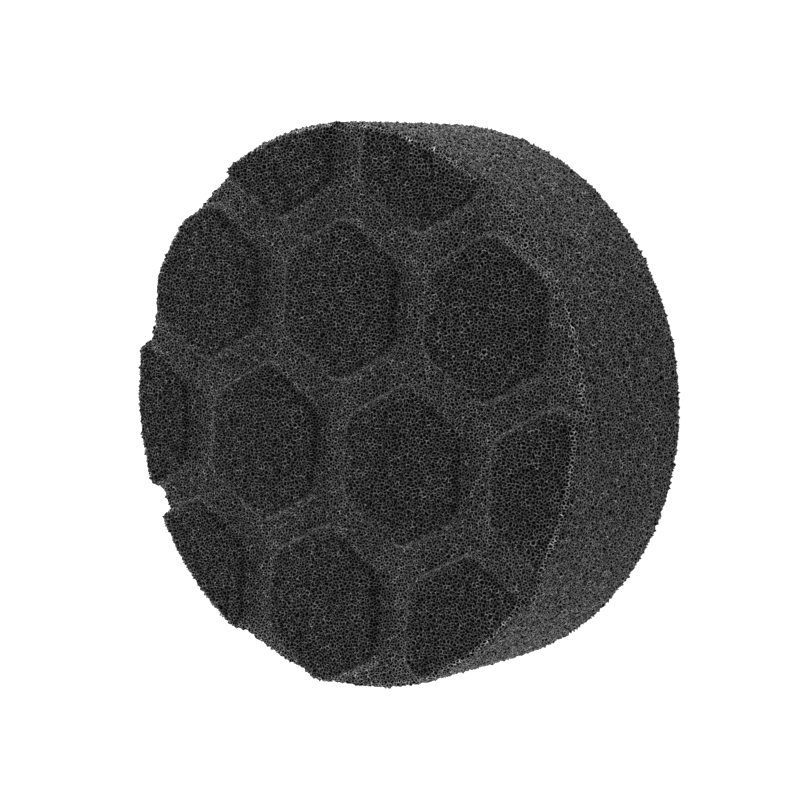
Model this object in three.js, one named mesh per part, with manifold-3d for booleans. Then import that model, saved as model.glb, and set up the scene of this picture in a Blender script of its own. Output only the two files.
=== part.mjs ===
// Three-inch foam polishing pad with a raised hexagon working face.
// The pad lies flat: the loop side faces down at z = 0, the spin axis is +Z through the origin, and the
// working face points up. All lengths are in millimetres.
import * as THREE from 'three';
import { mergeVertices } from 'three/addons/utils/BufferGeometryUtils.js';
import Module from 'manifold-3d';

// Driving sizes of the foam.
const foamDiameter = 80;       // outside diameter of the foam
const coreThickness = 23.3;    // from the bonded back to the floor of the grooves
const reliefHeight = 2.7;      // how far the hexagons stand above the groove floor
const rimRadius = 1.2;         // rounding where the working face turns into the side
const backEdgeRadius = 0.5;    // slight rounding of the cut edge at the bonded back

// Driving sizes of the hexagon pattern.
const hexPitch = 25.3;         // centre to centre of neighbouring hexagons
const grooveFloorWidth = 3.9;  // flat width at the bottom of a groove
const wallDraft = 0.5;         // how far one wall leans out from floor to shoulder
const shoulderRadius = 1.1;    // rounding between a wall and the top of a hexagon
const cornerRadius = 3.6;      // rounding of the six upright corners of a hexagon
const junctionOffset = [-1.5, 0.5]; // the groove junction nearest to the spin axis
const smallestBite = 2;        // a hexagon reaching in less than this from the foam's edge is left out

// Driving sizes of the bonded loop backing.
const backingDiameter = 75;    // outside diameter of the loop fabric, as wide as a 3 in backing plate
const filmThickness = 0.2;     // hot-melt adhesive film
const groundThickness = 0.4;   // knitted ground cloth of the loop fabric
const pileHeight = 1.0;        // height of the loops that the backing plate grips
const filmInset = 0.3;         // how far the film stops short of the loop fabric's edge
const pileInset = 0.2;         // how far the outermost loops stand in from the cloth's edge
const layerGap = 0.3;          // clearance kept between bonded layers

// Smoothness of curved shapes.
const roundSegments = 120;
const arcSteps = 5;
const cornerSteps = 4;

// Places that follow from the sizes above.
const foamRadius = foamDiameter / 2;
const backingRadius = backingDiameter / 2;
const groundBottom = pileHeight + layerGap;
const filmBottom = groundBottom + groundThickness + layerGap;
const foamBottom = filmBottom + filmThickness + layerGap;
const floorHeight = foamBottom + coreThickness;
const faceHeight = floorHeight + reliefHeight;

const wasm = await Module();
wasm.setup();

// Points on a quarter circle about (cx, cy) from angle a0 to a1, in the order travelled.
function arc(cx, cy, radius, a0, a1, steps) {
  return Array.from({ length: steps + 1 }, (_, i) => {
    const a = a0 + ((a1 - a0) * i) / steps;
    return [cx + radius * Math.cos(a), cy + radius * Math.sin(a)];
  });
}

// A solid of revolution about Z from [radius, height] pairs that start and end on the axis.
function turned(profile) {
  const points = profile.map(([r, z]) => new THREE.Vector2(r, z));
  return new THREE.LatheGeometry(points, roundSegments).rotateX(Math.PI / 2);
}

// A manifold solid from a closed three.js geometry.
function toSolid(geometry) {
  const bare = geometry.clone();
  bare.deleteAttribute('normal');
  bare.deleteAttribute('uv');
  const welded = mergeVertices(bare, 1e-5);
  const mesh = new wasm.Mesh({
    numProp: 3,
    vertProperties: new Float32Array(welded.attributes.position.array),
    triVerts: new Uint32Array(welded.index.array),
  });
  mesh.merge();
  return new wasm.Manifold(mesh);
}

// A three.js geometry from a manifold solid.
function toGeometry(solid) {
  const mesh = solid.getMesh();
  const geometry = new THREE.BufferGeometry();
  geometry.setAttribute('position', new THREE.BufferAttribute(new Float32Array(mesh.vertProperties), 3));
  geometry.setIndex(new THREE.BufferAttribute(new Uint32Array(mesh.triVerts), 1));
  geometry.computeVertexNormals();
  return geometry;
}

// The outline of a hexagon with rounded corners, flats facing +X and -X, at a distance from centre to flat.
function hexOutline(toFlat, radius) {
  const corner = (toFlat - radius) / Math.cos(Math.PI / 6);
  const points = [];
  for (let i = 0; i < 6; i += 1) {
    const heading = Math.PI / 6 + (i * Math.PI) / 3;
    const cx = corner * Math.cos(heading);
    const cy = corner * Math.sin(heading);
    points.push(...arc(cx, cy, radius, heading - Math.PI / 6, heading + Math.PI / 6, cornerSteps));
  }
  return points;
}

// A closed solid through a stack of outlines with equal point counts, given as {z, outline}.
function lofted(layers) {
  const count = layers[0].outline.length;
  const positions = layers.flatMap(({ z, outline }) => outline.flatMap(([x, y]) => [x, y, z]));
  const bottomCentre = positions.length / 3;
  positions.push(0, 0, layers[0].z, 0, 0, layers.at(-1).z);
  const faces = [];
  for (let i = 0; i < count; i += 1) {
    const j = (i + 1) % count;
    faces.push(bottomCentre, j, i);
    for (let k = 0; k + 1 < layers.length; k += 1) {
      const a = k * count + i;
      const b = k * count + j;
      faces.push(a, b, b + count, a, b + count, a + count);
    }
    const top = (layers.length - 1) * count;
    faces.push(bottomCentre + 1, top + i, top + j);
  }
  const geometry = new THREE.BufferGeometry();
  geometry.setAttribute('position', new THREE.Float32BufferAttribute(positions, 3));
  geometry.setIndex(faces);
  return geometry;
}

// One raised hexagon: drafted walls, a rounded shoulder and a flat top, rooted a little way into the core.
function hexBlock() {
  const root = 1;
  const floorToFlat = (hexPitch - grooveFloorWidth) / 2;
  const shoulderToFlat = floorToFlat - wallDraft;
  const layer = (toFlat, z) => ({ z, outline: hexOutline(toFlat, cornerRadius) });
  const shoulder = arc(shoulderToFlat - shoulderRadius, faceHeight - shoulderRadius, shoulderRadius,
    0, Math.PI / 2, arcSteps).map(([toFlat, z]) => layer(toFlat, z));
  return toSolid(lofted([
    layer(floorToFlat, floorHeight - root),
    layer(floorToFlat, floorHeight),
    ...shoulder,
  ]));
}

// Centres of the hexagons that reach the face, on a lattice whose rows run along X.
function hexCentres() {
  const rowStep = (hexPitch * Math.sqrt(3)) / 2;
  const firstRow = junctionOffset[1] + hexPitch / Math.sqrt(3);
  const reach = Math.ceil(foamRadius / hexPitch) + 1;
  const farthest = foamRadius - smallestBite + (hexPitch - grooveFloorWidth) / 2;
  const centres = [];
  for (let row = -reach; row <= reach; row += 1) {
    for (let column = -reach; column <= reach; column += 1) {
      const x = junctionOffset[0] + hexPitch * (column + (Math.abs(row) % 2) / 2);
      const y = firstRow - rowStep * row;
      if (Math.hypot(x, y) < farthest) centres.push([x, y]);
    }
  }
  return centres;
}

// The foam's outer form: a short cylinder with a rounded rim at the face and an eased edge at the back.
function foamEnvelope() {
  return toSolid(turned([
    [0, foamBottom],
    ...arc(foamRadius - backEdgeRadius, foamBottom + backEdgeRadius, backEdgeRadius, -Math.PI / 2, 0, 2),
    ...arc(foamRadius - rimRadius, faceHeight - rimRadius, rimRadius, 0, Math.PI / 2, arcSteps),
    [0, faceHeight],
  ]));
}

// The foam below the grooves, as a slab wider than the pad that the outer form trims.
function coreSlab() {
  const width = foamDiameter + 2 * hexPitch;
  const slab = new THREE.BoxGeometry(width, width, coreThickness + 1);
  return toSolid(slab.translate(0, 0, floorHeight - (coreThickness + 1) / 2));
}

// The one-piece foam body: the core with every hexagon standing on it, trimmed round.
function foamBody() {
  const block = hexBlock();
  const blocks = hexCentres().map(([x, y]) => block.translate([x, y, 0]));
  const uncut = wasm.Manifold.union([coreSlab(), ...blocks]);
  return toGeometry(uncut.intersect(foamEnvelope()));
}

// A flat round layer of the backing between two heights.
function disc(radius, bottom, thickness) {
  return turned([[0, bottom], [radius, bottom], [radius, bottom + thickness], [0, bottom + thickness]]);
}

const finishes = {
  foam: { color: 0x2c2c2c, roughness: 0.95, metalness: 0 },
  film: { color: 0x4a4a48, roughness: 0.45, metalness: 0 },
  cloth: { color: 0x1f1f20, roughness: 0.9, metalness: 0 },
  pile: { color: 0x262627, roughness: 0.85, metalness: 0 },
};

// A named mesh with its own material.
function piece(name, geometry, finish) {
  const mesh = new THREE.Mesh(geometry, new THREE.MeshStandardMaterial(finishes[finish]));
  mesh.name = name;
  return mesh;
}

const pad = new THREE.Group();
pad.add(
  piece('foam_body', foamBody(), 'foam'),
  piece('adhesive_film', disc(backingRadius - filmInset, filmBottom, filmThickness), 'film'),
  piece('loop_cloth', disc(backingRadius, groundBottom, groundThickness), 'cloth'),
  piece('loop_pile', disc(backingRadius - pileInset, 0, pileHeight), 'pile'),
);

export default pad;
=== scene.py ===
"""A three-inch foam polishing pad that lies flat, with its hexagon face up and its loop backing down.

Sizes in the classes are in millimetres, and the scene itself is in metres.
"""

import logging
import math
from dataclasses import dataclass, field
from enum import Enum
from typing import Any, Callable, Iterable, Optional, Sequence

import bmesh
import bpy
import numpy as np
from mathutils import Matrix, Vector
from mathutils.geometry import delaunay_2d_cdt
from mathutils.kdtree import KDTree


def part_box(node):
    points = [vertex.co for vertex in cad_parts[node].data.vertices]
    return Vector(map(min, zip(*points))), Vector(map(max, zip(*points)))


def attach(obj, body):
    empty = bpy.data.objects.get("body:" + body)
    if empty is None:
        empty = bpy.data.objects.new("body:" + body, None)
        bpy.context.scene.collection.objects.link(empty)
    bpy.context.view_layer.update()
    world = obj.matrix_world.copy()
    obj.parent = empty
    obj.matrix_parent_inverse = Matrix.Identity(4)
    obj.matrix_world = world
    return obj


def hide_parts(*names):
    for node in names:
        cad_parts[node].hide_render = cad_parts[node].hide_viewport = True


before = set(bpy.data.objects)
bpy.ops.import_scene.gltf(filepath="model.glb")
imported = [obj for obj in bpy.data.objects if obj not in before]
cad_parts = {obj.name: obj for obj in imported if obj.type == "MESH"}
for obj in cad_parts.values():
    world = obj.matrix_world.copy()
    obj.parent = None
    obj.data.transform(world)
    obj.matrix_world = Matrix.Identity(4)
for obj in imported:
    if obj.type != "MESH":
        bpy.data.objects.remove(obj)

LOG = logging.getLogger("polishing_pad")
MM = 0.001
BAKE_MAP = "OFBake"
MAP_SPAN = 2.04
HeightRule = Callable[[np.ndarray, np.ndarray, bool], np.ndarray]


def listed(items: Any, name: str, width: int = 1, kind: type = np.int32) -> np.ndarray:
    """One property of a mesh's points, faces or corners, all in one row."""
    found = np.empty(len(items) * width, dtype=kind)
    items.foreach_get(name, found)
    return found


def numbers(mesh: bpy.types.Mesh, name: str) -> np.ndarray:
    """The numbers stored on a mesh's points under a name."""
    return listed(mesh.attributes[name].data, "value", 1, float)


def coordinates(mesh: bpy.types.Mesh) -> np.ndarray:
    """The places of a mesh's points, one to a row."""
    return listed(mesh.vertices, "co", 3, float).reshape(-1, 3)


def into_scene(name: str, data: Any) -> bpy.types.Object:
    """Makes an object that carries a mesh, a light or a camera, and links it into the scene."""
    piece = bpy.data.objects.new(name, data)
    bpy.context.scene.collection.objects.link(piece)
    return piece


def mesh_of(name: str, verts: Sequence[Any], faces: Sequence[Any]) -> bpy.types.Mesh:
    """Makes a mesh from its points and faces."""
    mesh = bpy.data.meshes.new(name)
    mesh.from_pydata(verts, [], faces)
    return mesh


def settled(name: str, shape: bmesh.types.BMesh) -> bpy.types.Mesh:
    """Turns an editable shape into a mesh and lets the shape go."""
    mesh = bpy.data.meshes.new(name)
    shape.to_mesh(mesh)
    shape.free()
    return mesh


def turns(count: int) -> np.ndarray:
    """Evenly spaced angles, all the way round."""
    return np.arange(count) * (2 * math.pi / count)


def corner_points(mesh: bpy.types.Mesh) -> np.ndarray:
    """The point at each corner of each face."""
    return listed(mesh.loops, "vertex_index")


def corner_halves(mesh: bpy.types.Mesh) -> tuple[np.ndarray, np.ndarray]:
    """Each corner's face, and whether the corner is in the later half of that face's round."""
    start, total = (listed(mesh.polygons, name) for name in ("loop_start", "loop_total"))
    face = np.repeat(np.arange(len(start)), total)
    return face, (np.arange(len(face)) - start[face]) * 2 >= total[face]


def lay_bake_map(mesh: bpy.types.Mesh, across: np.ndarray, up: np.ndarray) -> None:
    """Stores each corner's place, from nought to one, on the map that keeps the piece's colours."""
    layer = mesh.uv_layers.new(name=BAKE_MAP)
    layer.data.foreach_set("uv", np.stack([across, up], 1).astype(np.float32).ravel())


def lay_plan_map(mesh: bpy.types.Mesh, reach: float) -> None:
    """Stores a corner map that shows the piece in plan, from minus reach to reach both ways."""
    plan = coordinates(mesh)[corner_points(mesh)] / (MAP_SPAN * reach) + 0.5
    lay_bake_map(mesh, plan[:, 0], plan[:, 1])


# ---- Node graphs: shader maths and geometry trees ----


class Graph:
    """A node tree, with one method that makes any node and one that joins sockets."""

    def __init__(self, tree: bpy.types.NodeTree) -> None:
        """Wraps the shader or geometry node tree to fill."""
        self.tree = tree

    def node(self, kind: str, settings: Optional[dict[str, Any]] = None, **values: Any) -> bpy.types.Node:
        """Makes one node.

        Args:
            kind: The node's type name.
            settings: Properties of the node, set before its sockets.
            values: Socket values or links by the socket's name, with spaces written as underscores.

        Returns:
            The new node.
        """
        made = self.tree.nodes.new(kind)
        for name, value in (settings or {}).items():
            setattr(made, name, value)
        for name, value in values.items():
            self.feed(self.socket(made.inputs, name), value)
        return made

    @staticmethod
    def socket(sockets: Iterable[bpy.types.NodeSocket], name: str) -> bpy.types.NodeSocket:
        """Finds the first enabled socket of a name.

        Args:
            sockets: A node's inputs or outputs.
            name: The socket's name with underscores for spaces.

        Returns:
            The socket.
        """
        return next(s for s in sockets if s.enabled and s.name.replace(" ", "_") == name)

    def feed(self, target: bpy.types.NodeSocket, value: Any) -> None:
        """Links a socket, node or Value to a target, or sets a plain value on it."""
        if isinstance(value, Value):
            value = value.socket
        if isinstance(value, bpy.types.Node):
            value = next(s for s in value.outputs if s.enabled)
        if isinstance(value, bpy.types.NodeSocket):
            self.tree.links.new(value, target)
        elif isinstance(value, (tuple, list)) and target.type == "RGBA" and len(value) == 3:
            target.default_value = (*value, 1.0)
        else:
            target.default_value = value

    def out(self, node: bpy.types.Node, name: str) -> "Value":
        """Wraps a node's named output for use in expressions."""
        return Value(self, self.socket(node.outputs, name))


class Value:
    """A number that varies over a surface, written in ordinary expressions."""

    def __init__(self, graph: Graph, socket: bpy.types.NodeSocket) -> None:
        """Wraps the output socket that carries the number, and the graph that it is in."""
        self.graph = graph
        self.socket = socket

    def _math(self, operation: str, *others: Any, clamp: bool = False) -> "Value":
        """Adds a Math node of an operation on this value and others."""
        made = self.graph.node("ShaderNodeMath", {"operation": operation, "use_clamp": clamp})
        for slot, value in zip(made.inputs, others):
            self.graph.feed(slot, value)
        return Value(self.graph, made.outputs[0])

    def __add__(self, other: Any) -> "Value":
        """This plus other."""
        return self._math("ADD", self, other)

    __radd__ = __add__

    def __sub__(self, other: Any) -> "Value":
        """This minus other."""
        return self._math("SUBTRACT", self, other)

    def __rsub__(self, other: Any) -> "Value":
        """Other minus this."""
        return self._math("SUBTRACT", other, self)

    def __mul__(self, other: Any) -> "Value":
        """This times other."""
        return self._math("MULTIPLY", self, other)

    __rmul__ = __mul__

    def __pow__(self, other: Any) -> "Value":
        """This to a power."""
        return self._math("POWER", self, other)

    def __gt__(self, other: Any) -> "Value":
        """One where this is greater than other."""
        return self._math("GREATER_THAN", self, other)

    def __lt__(self, other: Any) -> "Value":
        """One where this is less than other."""
        return self._math("LESS_THAN", self, other)

    def clamped(self) -> "Value":
        """This, held from zero to one."""
        return self._math("ADD", self, 0.0, clamp=True)


class Shader(Graph):
    """A material's node graph, with its Principled shader."""

    def __init__(self, name: str) -> None:
        """Makes an empty material.

        Args:
            name: The material's name.
        """
        self.material = bpy.data.materials.new(name)
        self.material.use_nodes = True
        super().__init__(self.material.node_tree)
        self.tree.nodes.clear()
        self.bsdf = self.node("ShaderNodeBsdfPrincipled")
        self.node("ShaderNodeOutputMaterial", Surface=self.bsdf)

    def surface(self, **values: Any) -> bpy.types.Material:
        """Feeds the Principled shader and hands back the material.

        Args:
            values: Socket values or links by name.

        Returns:
            The finished material.
        """
        for name, value in values.items():
            self.feed(self.socket(self.bsdf.inputs, name), value)
        return self.material

    def attribute(self, name: str) -> Value:
        """A named number stored on the mesh."""
        return self.out(self.node("ShaderNodeAttribute", {"attribute_name": name}), "Fac")

    def noise(self, per_metre: float, detail: float = 2.0) -> Value:
        """Noise from zero to one, with its swells in a metre of the piece and its finer layers."""
        place = self.out(self.node("ShaderNodeTexCoord"), "Object")
        made = self.node("ShaderNodeTexNoise", Vector=place, Scale=per_metre, Detail=detail)
        return self.out(made, "Fac")

    def blend(self, share: Any, first: Any, second: Any) -> bpy.types.NodeSocket:
        """Mixes two colours by a share from zero to one."""
        made = self.node("ShaderNodeMix", {"data_type": "RGBA"}, Factor=share, A=first, B=second)
        return next(s for s in made.outputs if s.enabled)


class GeometryTree(Graph):
    """A Geometry Nodes tree whose sizes are named inputs."""

    def __init__(self, name: str, **sizes: float) -> None:
        """Makes the tree with its geometry sockets and its size inputs.

        Args:
            name: The tree's name.
            sizes: Each named input and its value.
        """
        super().__init__(bpy.data.node_groups.new(name, "GeometryNodeTree"))
        face = self.tree.interface
        face.new_socket("Geometry", in_out="INPUT", socket_type="NodeSocketGeometry")
        face.new_socket("Geometry", in_out="OUTPUT", socket_type="NodeSocketGeometry")
        self.values: dict[str, float] = {}
        for label, value in sizes.items():
            kind = "NodeSocketInt" if isinstance(value, int) else "NodeSocketFloat"
            made = face.new_socket(label.replace("_", " "), in_out="INPUT", socket_type=kind)
            self.values[made.identifier] = value
        self.inputs = self.tree.nodes.new("NodeGroupInput")
        self.exit = self.tree.nodes.new("NodeGroupOutput")

    def size(self, name: str) -> Value:
        """A named input of the tree."""
        return self.out(self.inputs, name)

    def read(self, name: str) -> Value:
        """A number stored on the geometry under a name."""
        made = self.node("GeometryNodeInputNamedAttribute", {"data_type": "FLOAT"}, Name=name)
        return self.out(made, "Attribute")

    def random(self, low: Any, high: Any, seed: Any) -> Value:
        """A random number from low to high for each element."""
        made = self.node("FunctionNodeRandomValue", {"data_type": "FLOAT"}, Min=low, Max=high, Seed=seed)
        return self.out(made, "Value")

    def random_vector(self, reach: Any, seed: Any) -> bpy.types.NodeSocket:
        """A random vector for each element, within a reach on every axis."""
        made = self.node("FunctionNodeRandomValue", {"data_type": "FLOAT_VECTOR"},
                         Min=(-1.0, -1.0, -1.0), Max=(1.0, 1.0, 1.0), Seed=seed)
        return self.scaled(self.out(made, "Value").socket, reach)

    def scaled(self, vector: Any, factor: Any) -> bpy.types.NodeSocket:
        """A vector times a number."""
        made = self.node("ShaderNodeVectorMath", {"operation": "SCALE"}, Vector=vector, Scale=factor)
        return self.out(made, "Vector").socket

    def vector_sum(self, first: Any, second: Any) -> bpy.types.NodeSocket:
        """The sum of two vectors."""
        made = self.node("ShaderNodeVectorMath", {"operation": "ADD"})
        self.feed(made.inputs[0], first)
        self.feed(made.inputs[1], second)
        return made.outputs[0]

    def scattered(self) -> bpy.types.Node:
        """Scatters points evenly over the mesh that goes in, by the inputs Gap, Crowding and Seed."""
        return self.node("GeometryNodeDistributePointsOnFaces", {"distribute_method": "POISSON"},
                         Mesh=self.size("Geometry"), Distance_Min=self.size("Gap"),
                         Density_Max=self.size("Crowding"), Seed=self.size("Seed"))

    def stored(self, geometry: Any, name: str, value: Any, chosen: Any = True) -> bpy.types.Node:
        """Stores a number under a name on the chosen points of a geometry."""
        return self.node("GeometryNodeStoreNamedAttribute", {"data_type": "FLOAT", "domain": "POINT"},
                         Geometry=geometry, Selection=chosen, Name=name, Value=value)

    def finish(self, geometry: Any, material: Optional[bpy.types.Material] = None) -> None:
        """Ends the tree in Realize Instances and Set Material.

        Args:
            geometry: The last geometry.
            material: The material that the result wears, if it has one yet.
        """
        last = self.node("GeometryNodeRealizeInstances", Geometry=geometry)
        if material is not None:
            last = self.node("GeometryNodeSetMaterial", Geometry=last, Material=material)
        self.feed(self.exit.inputs[0], last)

    def applied(self, mesh: bpy.types.Mesh, name: str) -> bpy.types.Mesh:
        """Runs the tree on a mesh.

        Args:
            mesh: The mesh that goes in.
            name: The name of the mesh that comes out.

        Returns:
            A new plain mesh.
        """
        carrier = into_scene(name + "_carrier", mesh)
        modifier = carrier.modifiers.new("tree", "NODES")
        modifier.node_group = self.tree
        for identifier, value in self.values.items():
            modifier[identifier] = value
        graph = bpy.context.evaluated_depsgraph_get()
        graph.update()
        result = bpy.data.meshes.new_from_object(carrier.evaluated_get(graph))
        result.name = name
        if None in result.materials[:]:
            result.materials.pop(index=result.materials[:].index(None))
            result.polygons.foreach_set("material_index", np.zeros(len(result.polygons), dtype=np.int32))
        carrier.modifiers.remove(modifier)
        bpy.data.objects.remove(carrier)
        return result


# ---- Finishes ----


@dataclass(frozen=True)
class FoamFinish:
    """Black polyurethane foam: struts with a faint gloss over cells whose pits are painted darker with depth,
    down to near black, as painted shade.

    How pale the struts are is stored on the mesh, because each zone of the foam is cut differently; that
    stored tone also carries painted glints and a highlight painted along the rim and the groove mouths.
    """

    # painted shade: the near-black colour that the pits are painted towards as they deepen, and how fast they
    # get there
    pore_shade: tuple[float, float, float] = (0.0006, 0.0006, 0.0006)
    fall: float = 8.0
    gloss: float = 0.12
    strut_roughness: float = 0.38
    pore_roughness: float = 0.9

    def material(self) -> bpy.types.Material:
        """The foam's material."""
        shader = Shader("open_cell_foam")
        # painted shade: the colour falls from the strut's tone to near black with the depth into each pit
        share = (shader.attribute("cell_depth") * self.fall).clamped()
        strut = shader.blend(shader.attribute("strut_tone"), (0.0, 0.0, 0.0), (1.0, 1.0, 1.0))
        return shader.surface(
            Base_Color=shader.blend(share, strut, self.pore_shade),
            Roughness=share * (self.pore_roughness - self.strut_roughness) + self.strut_roughness,
            Specular_IOR_Level=self.gloss,
        )


@dataclass(frozen=True)
class FloorFinish:
    """A bright seamless studio floor."""

    tone: float = 0.2
    glow: float = 1.0

    def material(self) -> bpy.types.Material:
        """The floor's material."""
        shader = Shader("studio_floor")
        mottle = shader.noise(3.0)
        return shader.surface(
            Base_Color=shader.blend(mottle, [self.tone] * 3, [self.tone * 1.05] * 3),
            Roughness=0.9,
            Emission_Color=(1.0, 1.0, 1.0),
            Emission_Strength=self.glow,
        )


# ---- The foam body ----


class Zone(Enum):
    """The parts of the foam's skin, which are cut differently and so have cells of different sizes."""

    TOP = "top"
    GROOVE = "groove"
    SIDE = "side"
    BACK = "back"


@dataclass
class HexPattern:
    """The lattice of raised hexagons, and how far each place is from the middle of its hexagon."""

    pitch: float = 25.3
    floor_width: float = 3.9
    draft: float = 0.5
    corner_radius: float = 3.6
    junction: tuple[float, float] = (-1.5, 0.5)
    smallest_bite: float = 2.0
    still: float = 6.0
    rows: int = 4

    def centres(self, places: np.ndarray) -> np.ndarray:
        """The middle of the hexagon that each place belongs to.

        Args:
            places: Plane coordinates, one place to a row.

        Returns:
            The middles, row by row.
        """
        step = self.pitch * math.sqrt(3) / 2
        first = self.junction[1] + self.pitch / math.sqrt(3)
        best, nearest = np.full(len(places), np.inf), np.zeros_like(places)
        for row in range(-self.rows, self.rows + 1):
            shift = self.junction[0] + self.pitch * (abs(row) % 2) / 2
            column = np.round((places[:, 0] - shift) / self.pitch)
            middle = np.stack([shift + self.pitch * column, np.full(len(places), first - step * row)], 1)
            away = np.hypot(*(places - middle).T)
            nearest[away < best] = middle[away < best]
            best = np.minimum(best, away)
        return nearest

    def to_flat(self, offset: np.ndarray) -> np.ndarray:
        """The size, from middle to flat, of the rounded hexagon that passes through each offset."""
        size = np.zeros(len(offset))
        for side in range(6):
            turn = side * math.pi / 3
            size = np.maximum(size, offset @ (math.cos(turn), math.sin(turn)))
        for corner in range(6):
            turn = math.pi / 6 + corner * math.pi / 3
            along = offset @ (math.cos(turn), math.sin(turn))
            across = offset @ (-math.sin(turn), math.cos(turn))
            rounded = (along > self.corner_radius) & (np.abs(across) < self.corner_radius / 2)
            bulge = np.sqrt(np.maximum(self.corner_radius**2 - across**2, 0))
            arc = self.corner_radius + math.cos(math.pi / 6) * (along - bulge)
            size = np.where(rounded, arc, size)
        return size

    def spread(self, places: np.ndarray, drop: np.ndarray, deepest: np.ndarray, at_side: np.ndarray,
               radius: float) -> np.ndarray:
        """Makes room in a plan view for the steep walls, by crowding the tops and the groove floors.

        Args:
            places: Plane coordinates, one place to a row.
            drop: How far each place lies below the uncut face.
            deepest: How far the groove floor lies below the uncut face there.
            at_side: Whether each place is on the foam's side.
            radius: The foam's radius.

        Returns:
            The plane coordinates with the walls spread out.
        """
        middle = self.centres(places)
        offset = places - middle
        size = np.maximum(self.to_flat(offset), 1e-6)
        half = self.pitch / 2
        foot = half - self.floor_width / 2
        ramp = np.clip((size - foot + self.draft) / self.draft, 0, 1)
        drop = np.where(at_side, deepest * ramp, drop)
        wide = self.still + (size - self.still + drop) * (half - self.still) / (half - self.still + deepest)
        there = np.hypot(*middle.T) < radius - self.smallest_bite + foot
        share = np.where(there & (size > self.still), wide / size, 1.0)
        return middle + offset * share[:, None]


@dataclass
class FoamBody:
    """The one-piece foam: the CAD solid's own surface, broken up into open cells.

    The cells' centres are scattered over the solid, joined into triangles, and turned into their dual,
    so each centre becomes a many-sided cell. Geometry nodes then sink each cell and leave its rim as struts.
    """

    node: str = "foam_body"
    pattern: HexPattern = field(default_factory=HexPattern)
    relief: float = 2.7
    rim_radius: float = 1.2
    back_edge: float = 0.5
    back_drop: float = 0.28
    covered_radius: float = 36.4
    rings: tuple[tuple[float, int], ...] = ((35.6, 260), (33.6, 110), (29.0, 50), (18.0, 20), (2.0, 6))
    back_reach: float = 1.012
    slack: float = 0.01
    crowding: float = 3.0
    zone_gap: float = 0.85
    smooth_passes: int = 2
    smooth_below: float = 0.7
    spacing: dict[Zone, float] = field(
        default_factory=lambda: {Zone.TOP: 0.34, Zone.GROOVE: 0.32, Zone.SIDE: 0.33, Zone.BACK: 0.40}
    )
    tones: dict[Zone, float] = field(
        default_factory=lambda: {Zone.TOP: 0.054, Zone.GROOVE: 0.122, Zone.SIDE: 0.101}
    )
    side_inset: float = 0.1
    side_fade: float = 3.0
    back_fade: float = 1.0
    top_inset: float = 0.45
    top_fade: float = 1.2
    # partly the paler frayed cut edge, partly a painted highlight along the face's rim and at the groove
    # mouths
    edge_fray_and_highlight: float = 0.26
    edge_inset: float = 0.3
    edge_fade: float = 1.8
    mouth_inset: float = 0.35
    mouth_fade: float = 6.0
    mouth_band: float = 0.09
    mouth_share: float = 0.35
    tone_range: float = 0.45
    glint: float = 2.2
    glint_from: float = 0.88
    glint_spread: tuple[float, float] = (0.4, 1.0)
    open_above: float = 0.06
    open_outside: float = 0.4
    strut_share: float = 0.88
    share_spread: tuple[float, float] = (0.90, 1.06)
    carved_share: float = 0.05
    pore_depth: float = 0.46
    depth_spread: tuple[float, float] = (0.5, 1.0)
    carved_depth: float = 0.2
    pit_point: float = 0.002
    pit_merge: float = 0.004
    strut_sink: float = 0.03
    unevenness: float = 0.11
    loose_ends: float = 0.30
    loose_from: float = 0.76
    loose_spread: tuple[float, float] = (0.3, 1.0)
    map_start: float = 0.03
    map_tones: float = 0.09
    map_depths: float = 0.08
    map_flat: float = 0.028
    map_sliver: float = 0.005
    seed: int = 7

    def __post_init__(self) -> None:
        """Reads the solid's place from the frame."""
        low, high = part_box(self.node)
        self.radius = (high[0] - low[0]) / 2 / MM
        self.face = high[2] / MM
        self.floor = self.face - self.relief
        self.back = low[2] / MM - self.back_drop
        self.shoulder = self.face - self.rim_radius

    # -- the smooth form --

    def smooth_form(self) -> bpy.types.Mesh:
        """A welded copy of the CAD solid in millimetres, with its back lowered onto the film.

        Returns:
            The mesh.
        """
        source = bpy.data.objects[self.node].data
        shape = bmesh.new()
        shape.from_mesh(source)
        shape.transform(Matrix.Scale(1 / MM, 4))
        bmesh.ops.remove_doubles(shape, verts=shape.verts, dist=1e-3)
        for vert in shape.verts:
            if vert.co.z < self.back + self.back_drop + self.back_edge + self.slack:
                vert.co.z -= self.back_drop
        return settled("foam_form", shape)

    def zone_mesh(self, form: bpy.types.Mesh, zone: Zone) -> bpy.types.Mesh:
        """The faces of the smooth form that belong to a zone."""
        shape = bmesh.new()
        shape.from_mesh(form)
        others = [f for f in shape.faces if self.zone_of(f) is not zone]
        bmesh.ops.delete(shape, geom=others, context="FACES")
        return settled("foam_" + zone.value, shape)

    def zone_of(self, face: bmesh.types.BMFace) -> Zone:
        """The zone of one face of the smooth form."""
        centre = face.calc_center_median()
        if max(v.co.z for v in face.verts) < self.back + self.slack:
            return Zone.BACK
        if face.normal.z > 0.98 and centre.z > self.face - 0.05:
            return Zone.TOP
        outward = face.normal.x * centre.x + face.normal.y * centre.y
        on_rim = min(math.hypot(v.co.x, v.co.y) for v in face.verts) > self.radius - self.rim_radius - 0.05
        if on_rim and outward > 0.05 * self.radius:
            return Zone.SIDE
        return Zone.GROOVE

    # -- the cells' centres --

    def scattered(self, form: bpy.types.Mesh, zone: Zone, rank: int) -> np.ndarray:
        """Evenly scattered points over one zone of the form.

        Args:
            form: The smooth form.
            zone: The zone.
            rank: The zone's place in the order, which shifts the seed.

        Returns:
            The points, one to a row.
        """
        gap = self.spacing[zone]
        tree = GeometryTree("foam_seeds", Gap=gap, Crowding=self.crowding / gap**2, Seed=self.seed + rank)
        points = tree.out(tree.scattered(), "Points")
        tree.finish(tree.node("GeometryNodePointsToVertices", Points=points))
        return coordinates(tree.applied(self.zone_mesh(form, zone), "seeds"))

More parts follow.
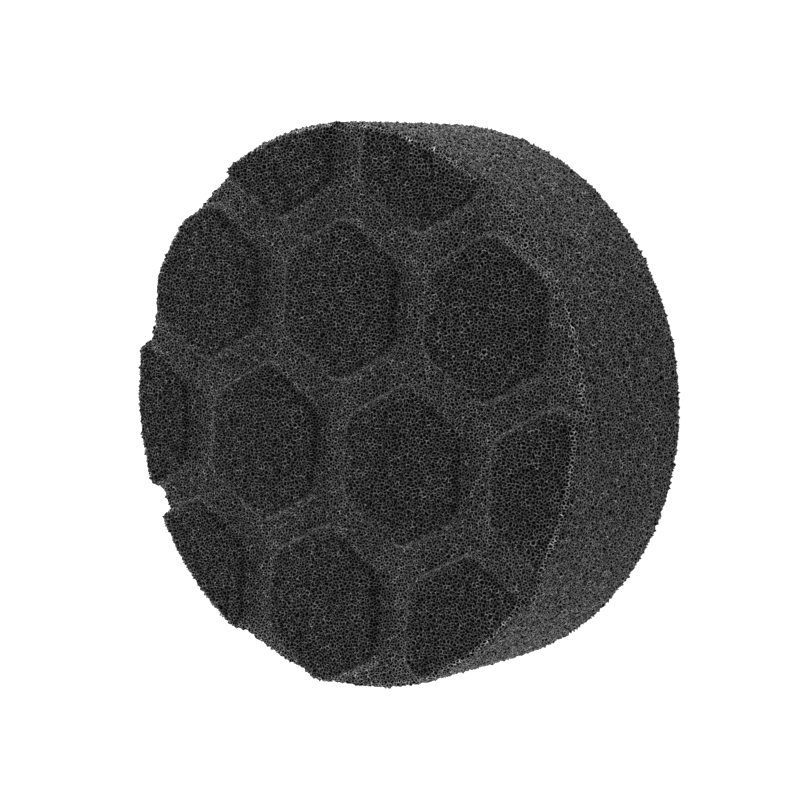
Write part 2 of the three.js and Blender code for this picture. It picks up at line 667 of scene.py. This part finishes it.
    def centres(self) -> np.ndarray:
        """Scatters the cells' centres over the form, and clears crowding where two zones meet.

        Returns:
            The points, one to a row.
        """
        form = self.smooth_form()
        kept: list[np.ndarray] = []
        for rank, zone in enumerate(Zone):
            points = self.scattered(form, zone, rank)
            if zone is Zone.BACK:
                points = points[np.hypot(points[:, 0], points[:, 1]) > self.covered_radius]
            if kept:
                earlier = np.concatenate(kept)
                tree = KDTree(len(earlier))
                for place, point in enumerate(earlier):
                    tree.insert(point, place)
                tree.balance()
                least = self.zone_gap * self.spacing[zone]
                points = points[[tree.find(point)[2] > least for point in points]]
            LOG.info("%s cells: %d", zone.value, len(points))
            kept.append(points)
        return np.concatenate(kept)

    def back_rings(self) -> np.ndarray:
        """Wide-spaced points for the part of the flat back that the backing covers.

        Returns:
            The points, one to a row, with the innermost ring last.
        """
        rings = []
        for radius, count in self.rings:
            turn = turns(count)
            level = np.full(count, self.back)
            rings.append(np.stack([radius * np.cos(turn), radius * np.sin(turn), level], 1))
        return np.concatenate(rings)

    def unrolled(self, points: np.ndarray) -> np.ndarray:
        """Lays the whole surface out flat without folds: the face in place with room made for its walls,
        the side as a growing ring around it, and the back as a wider ring round that.

        Args:
            points: Places on the surface.

        Returns:
            Two plane coordinates for each.
        """
        out = np.hypot(points[:, 0], points[:, 1])
        z = points[:, 2]
        start = self.radius - self.rim_radius
        lean = np.clip((out - start) / self.rim_radius, 0, 1)
        uncut = self.shoulder + self.rim_radius * np.sqrt(1 - lean**2)
        on_back = z < self.back + 1e-3
        outermost = (out > self.radius - 2 * self.slack) & (np.abs(z - self.floor) > 1e-3)
        on_side = (z < self.shoulder - 1e-4) & outermost
        on_side |= (z < self.back + self.back_edge + self.slack) & ~on_back
        deepest = uncut - self.floor
        drop = np.clip(uncut - z, 0, deepest)
        plan = self.pattern.spread(points[:, :2], drop, deepest, on_side | on_back, self.radius)
        face = np.where(out < start, out, start + self.rim_radius * np.arcsin(lean))
        edge = start + self.rim_radius * math.pi / 2
        side = edge * np.exp((self.shoulder - z) / self.radius)
        widest = edge * math.exp((self.shoulder - self.back) / self.radius)
        back = self.back_reach * widest * self.radius / np.maximum(out, 1)
        flat = np.where(on_back, back, np.where(on_side, side, face))
        return plan * (flat / np.maximum(out, 1e-9))[:, None]

    def skin(self) -> bpy.types.Mesh:
        """Joins the centres into a closed skin of triangles.

        Returns:
            The skin, in millimetres.
        """
        points = np.concatenate([self.centres(), self.back_rings()])
        plane = self.unrolled(points)
        _, _, faces, origins = delaunay_2d_cdt([Vector(p) for p in plane], [], [], 0, 1e-7, True)[:4]
        order = [sources[0] for sources in origins]
        shape = bmesh.new()
        verts = [shape.verts.new(points[i]) for i in order]
        for face in faces:
            shape.faces.new([verts[i] for i in face])
        where = {source: place for place, source in enumerate(order)}
        innermost = range(len(points) - self.rings[-1][1], len(points))
        shape.faces.new([verts[where[i]] for i in innermost])
        bmesh.ops.recalc_face_normals(shape, faces=shape.faces)
        for _ in range(self.smooth_passes):
            shape.normal_update()
            inner = [e for e in shape.edges if len(e.link_faces) == 2]
            level = [e for e in inner if e.calc_face_angle(math.pi) < self.smooth_below]
            bmesh.ops.beautify_fill(shape, faces=[f for f in shape.faces if len(f.verts) == 3],
                                    edges=level, method="ANGLE")
        return settled("foam_skin", shape)

    # -- the open cells --

    def _tones(self, tree: GeometryTree, out: Value, height: Value) -> tuple[Value, Value]:
        """How far each cell counts as cut into a groove, and how pale its struts are there, with a band along
        the face's rim and at the groove mouths painted paler: partly the frayed cut edge, partly a painted
        highlight.

        Args:
            tree: The tree that holds the sizes.
            out: How far each cell is from the pad's axis.
            height: How high each cell lies.

        Returns:
            The share from nought to one, and the tone.
        """
        inside = ((tree.size("Radius") - out - self.side_inset) * self.side_fade).clamped()
        inside = inside * (height > tree.size("Back") + self.back_fade)
        sunk = ((tree.size("Face") - height - self.top_inset) * self.top_fade).clamped()
        carved = sunk * inside
        beside = ((1.0 - inside) * sunk).clamped()
        # the rim and groove-mouth band: partly the paler frayed cut edge, partly a painted highlight
        across = tree.size("Radius") - out - self.edge_inset
        down = tree.size("Face") - height - self.edge_inset
        corner = (1.0 - (across * across + down * down) ** 0.5 * self.edge_fade).clamped()
        inward = tree.size("Radius") - out - self.mouth_inset
        above = height - tree.size("Face") + tree.size("Relief")
        mouth = (1.0 - inward * inward * self.mouth_fade).clamped() * (above * above < self.mouth_band)
        tone = tree.size("Top_Tone") + carved * (tree.size("Groove_Tone") - tree.size("Top_Tone"))
        tone = tone + beside * (tree.size("Side_Tone") - tree.size("Top_Tone"))
        return carved, tone + (corner + mouth * self.mouth_share) * tree.size("Edge_Lift")

    def cell_tree(self, material: bpy.types.Material) -> GeometryTree:
        """The tree that turns the skin into struts and pores.

        Args:
            material: The foam's material.

        Returns:
            The tree.
        """
        tree = GeometryTree(
            "open_cells", Strut_Share=self.strut_share, Pore_Depth=self.pore_depth,
            Strut_Sink=self.strut_sink, Unevenness=self.unevenness, Loose_Ends=self.loose_ends,
            Top_Tone=self.tones[Zone.TOP], Groove_Tone=self.tones[Zone.GROOVE],
            Side_Tone=self.tones[Zone.SIDE], Edge_Lift=self.edge_fray_and_highlight, Tone_Range=self.tone_range,
            Glint=self.glint, Radius=self.radius, Face=self.face, Relief=self.relief, Back=self.back,
            Covered=self.covered_radius, Seed=self.seed,
        )
        seed = tree.size("Seed")
        cells = tree.node("GeometryNodeDualMesh", Mesh=tree.size("Geometry"))
        normal = tree.node("GeometryNodeInputNormal")
        place = tree.node("ShaderNodeSeparateXYZ", Vector=tree.node("GeometryNodeInputPosition"))
        x, y, height = (tree.out(place, axis) for axis in "XYZ")
        out = (x * x + y * y) ** 0.5
        above_back = height > tree.size("Back") + self.open_above
        open_part = (above_back + (out > tree.size("Covered") + self.open_outside)).clamped()
        carved, tone = self._tones(tree, out, height)
        bright = tree.random(0.0, 1.0, seed + 7) > self.glint_from
        glint = bright * tree.random(*self.glint_spread, seed + 8) * tree.size("Glint")
        tone = tone * (1.0 + tree.random(-1.0, 1.0, seed + 4) * tree.size("Tone_Range") + glint)
        torn = tree.random(0.0, 1.0, seed) > self.loose_from
        loose = torn * tree.random(*self.loose_spread, seed + 1) * tree.size("Loose_Ends")
        lift = (tree.random(-1.0, 1.0, seed + 2) * tree.size("Unevenness") + loose) * open_part
        shake = tree.random_vector(tree.size("Unevenness") * open_part, seed + 3)
        cells = tree.stored(cells, "carved", carved)
        # the stored tone holds each zone's own tone and a random tone, plus painted glints and the painted
        # highlight along the rim and groove mouths
        cells = tree.stored(cells, "strut_tone", tone)
        cells = tree.node("GeometryNodeSetPosition", Geometry=cells,
                          Offset=tree.vector_sum(tree.scaled(normal, lift), shake))
        rims = tree.node("GeometryNodeExtrudeMesh", {"mode": "FACES"}, Mesh=cells, Selection=open_part,
                         Offset_Scale=tree.size("Strut_Sink") * -1, Individual=True)
        inner = tree.out(rims, "Top")
        shallow = tree.read("carved")
        share = tree.size("Strut_Share") * tree.random(*self.share_spread, seed + 5)
        share = share * (1.0 - shallow * self.carved_share)
        rims = tree.node("GeometryNodeScaleElements", {"domain": "FACE"}, Geometry=tree.out(rims, "Mesh"),
                         Selection=inner, Scale=share)
        deep = tree.size("Pore_Depth") * tree.random(*self.depth_spread, seed + 6)
        deep = deep * (1.0 - shallow * self.carved_depth)
        pits = tree.node("GeometryNodeExtrudeMesh", {"mode": "FACES"}, Mesh=rims, Selection=inner,
                         Offset_Scale=deep * -1, Individual=True)
        bottom = tree.out(pits, "Top")
        pits = tree.node("GeometryNodeScaleElements", {"domain": "FACE"}, Geometry=tree.out(pits, "Mesh"),
                         Selection=bottom, Scale=self.pit_point)
        pits = tree.stored(pits, "cell_depth", 1.0, bottom)
        pits = tree.node("GeometryNodeMergeByDistance", Geometry=pits, Selection=bottom,
                         Distance=self.pit_merge)
        tree.finish(pits, material)
        return tree

    def lay_map(self, mesh: bpy.types.Mesh) -> None:
        """Maps each corner by how pale its strut is and how deep it lies, which is all the finish reads."""
        tone, depth = numbers(mesh, "strut_tone"), numbers(mesh, "cell_depth")
        point = corner_points(mesh)
        face, later = corner_halves(mesh)
        deepest = np.zeros(len(mesh.polygons))
        np.maximum.at(deepest, face, depth[point])
        flat = self.map_flat - self.map_sliver * later
        up = np.where(deepest[face] > 0.5, self.map_start + self.map_depths * depth[point], flat)
        lay_bake_map(mesh, self.map_start + self.map_tones * tone[point] / tone.max(), up)

    def build(self) -> bpy.types.Object:
        """Returns:
            The foam object.
        """
        cells = self.cell_tree(FoamFinish().material()).applied(self.skin(), "foam_cells")
        cells.transform(Matrix.Scale(MM, 4))
        self.lay_map(cells)
        piece = into_scene("open_cell_foam", cells)
        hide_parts(self.node)
        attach(piece, "root")
        LOG.info("foam: %d vertices, %d faces", len(cells.vertices), len(cells.polygons))
        return piece


# ---- The bonded loop backing ----


@dataclass(frozen=True)
class FilmFinish:
    """Hot-melt film: satin, slightly streaky where it ran."""

    thin: tuple[float, float, float] = (0.035, 0.035, 0.033)
    thick: tuple[float, float, float] = (0.070, 0.070, 0.066)
    per_metre: float = 420.0

    def material(self) -> bpy.types.Material:
        """The film's material."""
        shader = Shader("hot_melt_film")
        run = shader.noise(self.per_metre, 3.0)
        colour = shader.blend(run, self.thin, self.thick)
        return shader.surface(Base_Color=colour, Roughness=run * 0.25 + 0.32)


@dataclass(frozen=True)
class ClothFinish:
    """Black knitted nylon, with ribs that run along one way of the cloth, and painted shade in the valleys
    between the ribs.
    """

    valley_shade: tuple[float, float, float] = (0.007, 0.007, 0.007)
    rib: tuple[float, float, float] = (0.032, 0.032, 0.033)
    grain_per_metre: float = 2400.0
    roughness: float = 0.85

    def material(self) -> bpy.types.Material:
        """The cloth's material."""
        shader = Shader("knitted_ground")
        # painted shade: darker in the valleys between the ribs, with noise for the yarn's grain
        share = (shader.attribute("rib") * 0.8 + shader.noise(self.grain_per_metre) * 0.3).clamped()
        return shader.surface(Base_Color=shader.blend(share, self.valley_shade, self.rib), Roughness=self.roughness)


@dataclass(frozen=True)
class LoopFinish:
    """Black nylon loops, each a little paler or darker than the next."""

    shaded: tuple[float, float, float] = (0.010, 0.010, 0.010)
    lit: tuple[float, float, float] = (0.038, 0.038, 0.039)

    def material(self) -> bpy.types.Material:
        """The loops' material."""
        shader = Shader("nylon_loops")
        share = shader.attribute("loop_tone")
        colour = shader.blend(share, self.shaded, self.lit)
        return shader.surface(Base_Color=colour, Roughness=share * 0.2 + 0.45)


@dataclass
class LoopBacking:
    """What is melted onto the foam's back: a film, a knitted ground cloth and its pile of loops."""

    film_node: str = "adhesive_film"
    cloth_node: str = "loop_cloth"
    pile_node: str = "loop_pile"
    foam_back: float = 2.22
    overlap: float = 0.01
    film_run: float = 0.22
    film_round: float = 0.1
    film_inset: float = 0.1
    film_rings: tuple[float, ...] = (0.5, 0.9, 0.985, 0.99, 0.995, 1.0)
    film_waves: tuple[tuple[int, float], ...] = ((5, 0.05), (23, 0.05), (61, 0.04), (97, 0.03))
    cloth_inset: float = 0.06
    cloth_rings: int = 96
    cloth_waves: tuple[tuple[int, float], ...] = ((7, 0.02), (151, 0.03))
    rib_pitch: float = 1.0
    course_pitch: float = 0.8
    rib_depth: float = 0.10
    loop_gap: float = 0.72
    loop_span: float = 0.62
    loop_belly: float = 0.35
    loop_root: float = 0.06
    loop_steps: int = 6
    loop_lean: float = 0.22
    loop_sizes: tuple[float, float] = (0.82, 0.97)
    thread: float = 0.055
    thread_sides: int = 3
    crowding: float = 4.0
    edge_points: int = 360
    map_sliver: float = 0.004
    seed: int = 21

    def __post_init__(self) -> None:
        """Reads the layers' places from the frame."""
        cloth_low, cloth_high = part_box(self.cloth_node)
        self.cloth_radius = cloth_high[0] / MM
        self.cloth_low, self.cloth_high = cloth_low[2] / MM, cloth_high[2] / MM
        self.film_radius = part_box(self.film_node)[1][0] / MM
        self.pile_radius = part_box(self.pile_node)[1][0] / MM

    def _edge(self, reach: float, waves: Sequence[tuple[int, float]]) -> np.ndarray:
        """An outline's radius all the way round, with gentle waves of (count, height)."""
        turn = turns(self.edge_points)
        rng = np.random.default_rng(self.seed)
        radius = np.full(self.edge_points, reach)
        for count, height in waves:
            radius = radius + height * np.sin(count * turn + rng.uniform(0, 2 * math.pi))
        return radius

    def _disc(self, name: str, rings: Sequence[float], height: HeightRule,
              edge: np.ndarray) -> bpy.types.Mesh:
        """A closed round layer made of rings.

        Args:
            name: The mesh's name.
            rings: The rings' shares of the edge's radius, from the middle out.
            height: The height, in millimetres, of places on the lower (True) or upper (False) face.
            edge: The radius all the way round.

        Returns:
            The mesh, in metres.
        """
        count = self.edge_points
        turn = turns(count)
        verts, faces = [], []
        for lower in (True, False):
            base = len(verts)
            verts.append((0.0, 0.0, float(height(np.zeros(1), np.zeros(1), lower)[0])))
            for share in rings:
                x, y = edge * share * np.cos(turn), edge * share * np.sin(turn)
                verts.extend(zip(x.tolist(), y.tolist(), height(x, y, lower).tolist()))
            for i in range(count):
                j = (i + 1) % count
                cap = (base, base + 1 + i, base + 1 + j)
                faces.append(cap[::-1] if lower else cap)
                for k in range(len(rings) - 1):
                    a, b = base + 1 + k * count + i, base + 1 + k * count + j
                    quad = (a, a + count, b + count, b)
                    faces.append(quad[::-1] if lower else quad)
        half = len(verts) // 2
        last = 1 + (len(rings) - 1) * count
        for i in range(count):
            j = (i + 1) % count
            faces.append((last + i, last + j, half + last + j, half + last + i))
        mesh = mesh_of(name, [tuple(c * MM for c in v) for v in verts], faces)
        mesh.validate()
        return mesh

    def _placed(self, mesh: bpy.types.Mesh, name: str, node: str) -> bpy.types.Object:
        """Puts a mesh into the scene in place of a CAD node."""
        piece = into_scene(name, mesh)
        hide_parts(node)
        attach(piece, "root")
        return piece

    def film(self) -> bpy.types.Object:
        """The film, melted up against the foam and down onto the cloth, with an edge that ran a little."""
        low, high = self.cloth_high - self.overlap, self.foam_back - self.overlap
        edge = self._edge(self.film_radius - self.film_inset, self.film_waves)

        def height(x: np.ndarray, y: np.ndarray, lower: bool) -> np.ndarray:
            """Rounds the film off towards its edge."""
            near = np.clip((np.hypot(x, y) - self.film_radius + self.film_run) / self.film_run, 0, 1)
            fall = self.film_round * near
            return np.full(len(x), low) + fall if lower else np.full(len(x), high) - fall

        mesh = self._disc("film", self.film_rings, height, edge)
        mesh.materials.append(FilmFinish().material())
        lay_plan_map(mesh, self.cloth_radius * MM)
        return self._placed(mesh, "hot_melt_film", self.film_node)

    def cloth(self) -> bpy.types.Object:
        """The ground cloth, with the ribs and courses of its knit on the lower face."""
        edge = self._edge(self.cloth_radius - self.cloth_inset, self.cloth_waves)
        rings = [step / self.cloth_rings for step in range(1, self.cloth_rings + 1)]

        def rib(x: np.ndarray, y: np.ndarray) -> np.ndarray:
            """How far each place stands on a rib, from nought to one."""
            across = 0.5 + 0.5 * np.cos(2 * math.pi * x / self.rib_pitch)
            along = 0.5 + 0.5 * np.cos(2 * math.pi * (y / self.course_pitch + 0.25 * np.sin(x)))
            return across * (0.55 + 0.45 * along)

        def height(x: np.ndarray, y: np.ndarray, lower: bool) -> np.ndarray:
            """Lets the ribs stand down from the lower face."""
            if lower:
                return self.cloth_low + self.rib_depth * (1 - rib(x, y))
            return np.full(len(x), self.cloth_high)

        mesh = self._disc("cloth", rings, height, edge)
        places = coordinates(mesh) / MM
        ribs = mesh.attributes.new("rib", "FLOAT", "POINT").data
        ribs.foreach_set("value", rib(places[:, 0], places[:, 1]))
        mesh.materials.append(ClothFinish().material())
        lay_plan_map(mesh, self.cloth_radius * MM)
        piece = self._placed(mesh, "knitted_cloth", self.cloth_node)
        return piece

    def loop_shape(self) -> bpy.types.Mesh:
        """One loop of thread, rooted in the cloth and hanging to the resting plane.

        Returns:
            The loop, in millimetres, about the point where it is rooted.
        """
        steps, sides = self.loop_steps, self.thread_sides
        half, drop = self.loop_span / 2, self.cloth_low - self.thread + self.loop_root
        path = [Vector((half * math.cos(a) * (1 + self.loop_belly * math.sin(a)), 0.0,
                        self.loop_root - drop * math.sin(a)))
                for a in (math.pi * i / steps for i in range(steps + 1))]
        verts, faces = [], []
        for i, point in enumerate(path):
            along = (path[min(i + 1, steps)] - path[max(i - 1, 0)]).normalized()
            side = Vector((0, 1, 0))
            other = along.cross(side)
            for k in range(sides):
                a = 2 * math.pi * k / sides
                verts.append(point + (side * math.cos(a) + other * math.sin(a)) * self.thread)
        for i in range(steps):
            for k in range(sides):
                a, b = i * sides + k, i * sides + (k + 1) % sides
                faces.append((a, b, b + sides, a + sides))
        faces.append(tuple(range(sides))[::-1])
        faces.append(tuple(range(steps * sides, (steps + 1) * sides)))
        shape = bmesh.new()
        shape.from_mesh(mesh_of("loop_form", verts, faces))
        bmesh.ops.recalc_face_normals(shape, faces=shape.faces)
        return settled("one_loop", shape)

    def pile(self) -> bpy.types.Object:
        """The pile: the one loop, repeated all over the cloth, each turned and sized a little differently."""
        stock = bpy.data.objects.new("loop_stock", self.loop_shape())
        crowding = self.crowding / self.loop_gap**2
        tree = GeometryTree("loop_pile", Gap=self.loop_gap, Crowding=crowding, Seed=self.seed)
        seed = tree.size("Seed")
        points = tree.out(tree.scattered(), "Points")
        points = tree.stored(points, "loop_tone", tree.random(0.0, 1.0, seed + 1))
        turn = tree.node("ShaderNodeCombineXYZ", X=tree.random(-self.loop_lean, self.loop_lean, seed + 2),
                         Y=tree.random(-self.loop_lean, self.loop_lean, seed + 3),
                         Z=tree.random(0.0, 2 * math.pi, seed + 4))
        loop = tree.node("GeometryNodeObjectInfo", Object=stock)
        placed = tree.node("GeometryNodeInstanceOnPoints", Points=points, Instance=tree.out(loop, "Geometry"),
                           Rotation=turn, Scale=tree.random(*self.loop_sizes, seed + 5))
        tree.finish(placed, LoopFinish().material())
        reach = self.pile_radius - self.loop_span / 2 - 0.1
        sides = self.edge_points // 2
        ring = [2 * math.pi * i / sides for i in range(sides)]
        rim = [(reach * math.cos(a), reach * math.sin(a), self.cloth_low) for a in ring]
        mesh = tree.applied(mesh_of("pile_ground", rim, [tuple(range(sides))]), "loops")
        bpy.data.objects.remove(stock)
        mesh.transform(Matrix.Scale(MM, 4))
        _, later = corner_halves(mesh)
        turn = np.arange(len(later)) % 2
        tone = numbers(mesh, "loop_tone")[corner_points(mesh)]
        middle = 0.05 + 0.9 * tone
        lay_bake_map(mesh, middle + self.map_sliver * later, middle + self.map_sliver * (turn - 0.5))
        LOG.info("loop pile: %d faces", len(mesh.polygons))
        return self._placed(mesh, "nylon_loops", self.pile_node)

    def build(self) -> list[bpy.types.Object]:
        """Makes the film, the cloth and the pile."""
        return [self.film(), self.cloth(), self.pile()]


# ---- The studio ----


@dataclass(frozen=True)
class Softbox:
    """A soft area light, with its sizes in metres and its power in watts."""

    name: str
    place: tuple[float, float, float]
    size: tuple[float, float]
    power: float
    aim: tuple[float, float, float] = (0.0, 0.0, 0.013)

    def hang(self) -> None:
        """Puts the light into the scene, facing its aim."""
        data = bpy.data.lights.new(self.name, "AREA")
        data.shape, data.size, data.size_y, data.energy = "RECTANGLE", *self.size, self.power
        piece = into_scene(self.name, data)
        piece.location = self.place
        piece.rotation_euler = (Vector(self.aim) - Vector(self.place)).to_track_quat("-Z", "Y").to_euler()


@dataclass
class Studio:
    """The floor, the lights and the camera."""

    aim: tuple[float, float] = (0.35, 0.20)
    aim_depth: float = 13.46
    face: float = 28.5
    distance: float = 334.0
    bearing: float = 12.93
    elevation: float = 51.35
    roll: float = 96.96
    lens: float = 103.5
    floor_half: float = 3000.0
    air: float = 1.0
    softboxes: tuple[Softbox, ...] = (
        Softbox("left_softbox", (-0.25, -0.60, 0.14), (0.9, 0.35), 9.0),
        Softbox("right_softbox", (-0.35, 0.55, 0.14), (0.9, 0.35), 9.0),
        Softbox("back_softbox", (-0.60, 0.0, 0.08), (1.0, 0.12), 5.0),
    )

    def camera(self) -> None:
        """Places the camera."""
        data = bpy.data.cameras.new("camera")
        data.lens = self.lens
        data.clip_start, data.clip_end = 0.01, 20.0
        piece = into_scene("camera", data)
        turn, rise = math.radians(self.bearing), math.radians(self.elevation)
        back = Vector((math.cos(turn) * math.cos(rise), math.sin(turn) * math.cos(rise), math.sin(rise)))
        level = (-back).to_track_quat("-Z", "Y").to_matrix()
        spin = Matrix.Rotation(math.radians(-self.roll), 3, "Z")
        aim = Vector((*self.aim, self.face - self.aim_depth))
        stand = Matrix.Translation((aim + back * self.distance) * MM)
        piece.matrix_world = stand @ (level @ spin).to_4x4()
        bpy.context.scene.camera = piece

    def floor(self) -> None:
        """Lays the floor under the pad."""
        half = self.floor_half * MM
        corners = [(-half, -half, 0), (half, -half, 0), (half, half, 0), (-half, half, 0)]
        mesh = mesh_of("studio_floor", corners, [(0, 1, 2, 3)])
        mesh.materials.append(FloorFinish().material())
        piece = into_scene("studio_floor", mesh)

    def build(self) -> None:
        """Sets up the whole studio."""
        self.floor()
        for box in self.softboxes:
            box.hang()
        world = bpy.data.worlds.new("studio_air")
        world.use_nodes = True
        backdrop = world.node_tree.nodes["Background"].inputs
        backdrop["Color"].default_value = (1, 1, 1, 1)
        backdrop["Strength"].default_value = self.air
        bpy.context.scene.world = world
        bpy.context.scene.view_settings.view_transform = "Standard"
        self.camera()


def main() -> None:
    """Builds the pad and its studio, in order."""
    logging.basicConfig(level=logging.INFO, format="%(name)s: %(message)s")
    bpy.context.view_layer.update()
    foam = FoamBody().build()
    layers = LoopBacking().build()
    LOG.info("built %s", ", ".join(piece.name for piece in (foam, *layers)))
    Studio().build()


if __name__ == "__main__":
    main()
